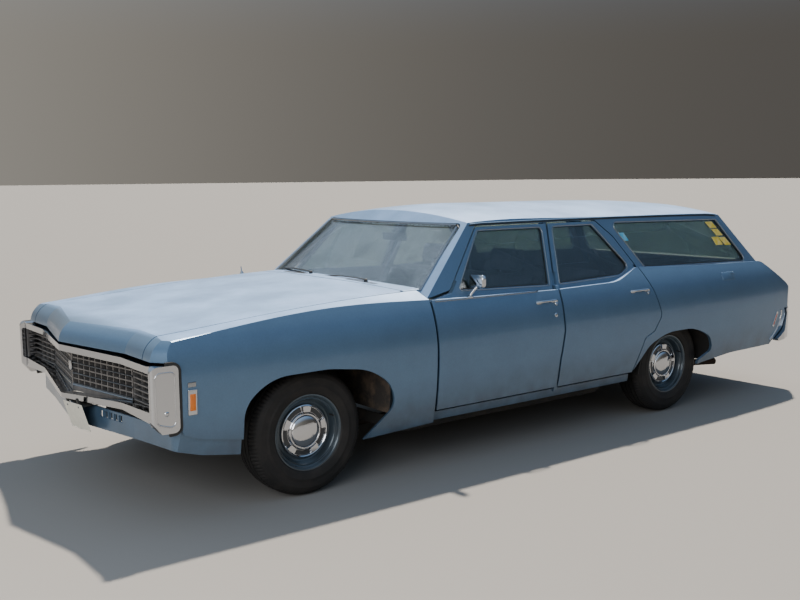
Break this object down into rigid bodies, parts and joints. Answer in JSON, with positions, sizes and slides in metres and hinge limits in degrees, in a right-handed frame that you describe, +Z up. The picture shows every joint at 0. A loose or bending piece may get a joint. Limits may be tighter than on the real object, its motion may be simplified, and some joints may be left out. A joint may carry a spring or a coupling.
{
  "type": "station wagon",
  "caption": "Full-size station wagon with opening doors, hood and tailgate, steering front wheels and rolling wheels.",
  "frame": {"origin": "on the ground under the middle of the car", "axes": "front faces -Y, the car's left is +X, up is +Z"},
  "size_m": [2.0278, 5.53, 1.5094],
  "materials": {
    "body_paint": "faded metallic enamel",
    "wheel_paint": "satin enamel",
    "chassis_black": "dull black",
    "chrome": "polished, weathered",
    "grille_metal": "anodised, weathered",
    "tinted_glass": "clear with a green tint",
    "lamp_glass": "fluted clear",
    "tail_lens": "red lens",
    "mirror_metal": "polished",
    "tyre_rubber": "worn blackwall",
    "cast_iron": "bare, oily",
    "steel": "bare, rusty",
    "seat_vinyl": "dark vinyl",
    "dash_plastic": "dark padded"
  },
  "bodies": {
    "root": {"chassis_frame": "chassis_black", "floor_pan": "chassis_black", "load_floor": "chassis_black", "rocker_panels": "body_paint", "cowl": "body_paint", "roof": "body_paint", "center_pillars": "body_paint", "windshield": "tinted_glass", "tailgate_glass": "tinted_glass", "quarter_glass": "tinted_glass", "front_fender_left": "body_paint", "front_fender_right": "body_paint", "quarter_panel_left": "body_paint", "quarter_panel_right": "body_paint", "grille": "grille_metal", "headlamps": "lamp_glass", "front_bumper": "chrome", "front_valance": "body_paint", "rear_bumper": "chrome", "tail_lamps": "tail_lens", "engine": "cast_iron", "front_inner_panels": "chassis_black", "front_suspension": "chassis_black", "rear_axle": "cast_iron", "fuel_tank": "steel", "exhaust": "steel", "dashboard": "dash_plastic", "front_seat": "seat_vinyl", "rear_seat": "seat_vinyl"},
    "hood": {"hood": "body_paint"},
    "tailgate": {"tailgate": "body_paint"},
    "steering_wheel": {"steering_wheel": "dash_plastic"},
    "front_door_left": {"front_door_left": "body_paint", "front_door_glass_left": "tinted_glass", "door_mirror": "mirror_metal"},
    "front_wheel_left": {"tyre_front_left": "tyre_rubber", "wheel_front_left": "wheel_paint"},
    "rear_door_left": {"rear_door_left": "body_paint", "rear_door_glass_left": "tinted_glass"},
    "rear_wheel_left": {"tyre_rear_left": "tyre_rubber", "wheel_rear_left": "wheel_paint"},
    "knuckle_left": {"steering_knuckle_left": "cast_iron"},
    "front_door_right": {"front_door_right": "body_paint", "front_door_glass_right": "tinted_glass"},
    "front_wheel_right": {"tyre_front_right": "tyre_rubber", "wheel_front_right": "wheel_paint"},
    "rear_door_right": {"rear_door_right": "body_paint", "rear_door_glass_right": "tinted_glass"},
    "rear_wheel_right": {"tyre_rear_right": "tyre_rubber", "wheel_rear_right": "wheel_paint"},
    "knuckle_right": {"steering_knuckle_right": "cast_iron"}
  },
  "joints": [
    {"name": "steer_left", "type": "hinge", "parent": "root", "child": "knuckle_left", "pos_m": [0.69, -1.7565, 0.346], "axis": [0, 0, 1], "range_deg": [-32, 32]},
    {"name": "front_wheel_left_spin", "type": "hinge", "parent": "knuckle_left", "child": "front_wheel_left", "pos_m": [0.794, -1.7565, 0.346], "axis": [1, 0, 0], "continuous": true},
    {"name": "rear_wheel_left_spin", "type": "hinge", "parent": "root", "child": "rear_wheel_left", "pos_m": [0.8, 1.2665, 0.346], "axis": [1, 0, 0], "continuous": true},
    {"name": "front_door_left_hinge", "type": "hinge", "parent": "root", "child": "front_door_left", "pos_m": [1.0135, -0.96, 0.7], "axis": [0, 0, -1], "range_deg": [0, 65]},
    {"name": "rear_door_left_hinge", "type": "hinge", "parent": "root", "child": "rear_door_left", "pos_m": [1.0135, 0.035, 0.7], "axis": [0, 0, -1], "range_deg": [0, 65]},
    {"name": "steer_right", "type": "hinge", "parent": "root", "child": "knuckle_right", "pos_m": [-0.69, -1.7565, 0.346], "axis": [0, 0, 1], "range_deg": [-32, 32]},
    {"name": "front_wheel_right_spin", "type": "hinge", "parent": "knuckle_right", "child": "front_wheel_right", "pos_m": [-0.794, -1.7565, 0.346], "axis": [1, 0, 0], "continuous": true},
    {"name": "rear_wheel_right_spin", "type": "hinge", "parent": "root", "child": "rear_wheel_right", "pos_m": [-0.8, 1.2665, 0.346], "axis": [1, 0, 0], "continuous": true},
    {"name": "front_door_right_hinge", "type": "hinge", "parent": "root", "child": "front_door_right", "pos_m": [-1.0135, -0.96, 0.7], "axis": [0, 0, 1], "range_deg": [0, 65]},
    {"name": "rear_door_right_hinge", "type": "hinge", "parent": "root", "child": "rear_door_right", "pos_m": [-1.0135, 0.035, 0.7], "axis": [0, 0, 1], "range_deg": [0, 65]},
    {"name": "hood_hinge", "type": "hinge", "parent": "root", "child": "hood", "pos_m": [0, -1.06, 1.058], "axis": [-1, 0, 0], "range_deg": [0, 45]},
    {"name": "tailgate_hinge", "type": "hinge", "parent": "root", "child": "tailgate", "pos_m": [0, 2.763, 0.606], "axis": [-1, 0, 0], "range_deg": [0, 115]},
    {"name": "steering_wheel_turn", "type": "hinge", "parent": "root", "child": "steering_wheel", "pos_m": [0.39, -0.44, 0.905], "axis": [0, 0.9135, 0.4067], "range_deg": [-640, 640]}
  ],
  "couplings": [
    {"joint": "steer_right", "follows": "steer_left", "ratio": 1},
    {"joint": "steering_wheel_turn", "follows": "steer_left", "ratio": 20}
  ]
}
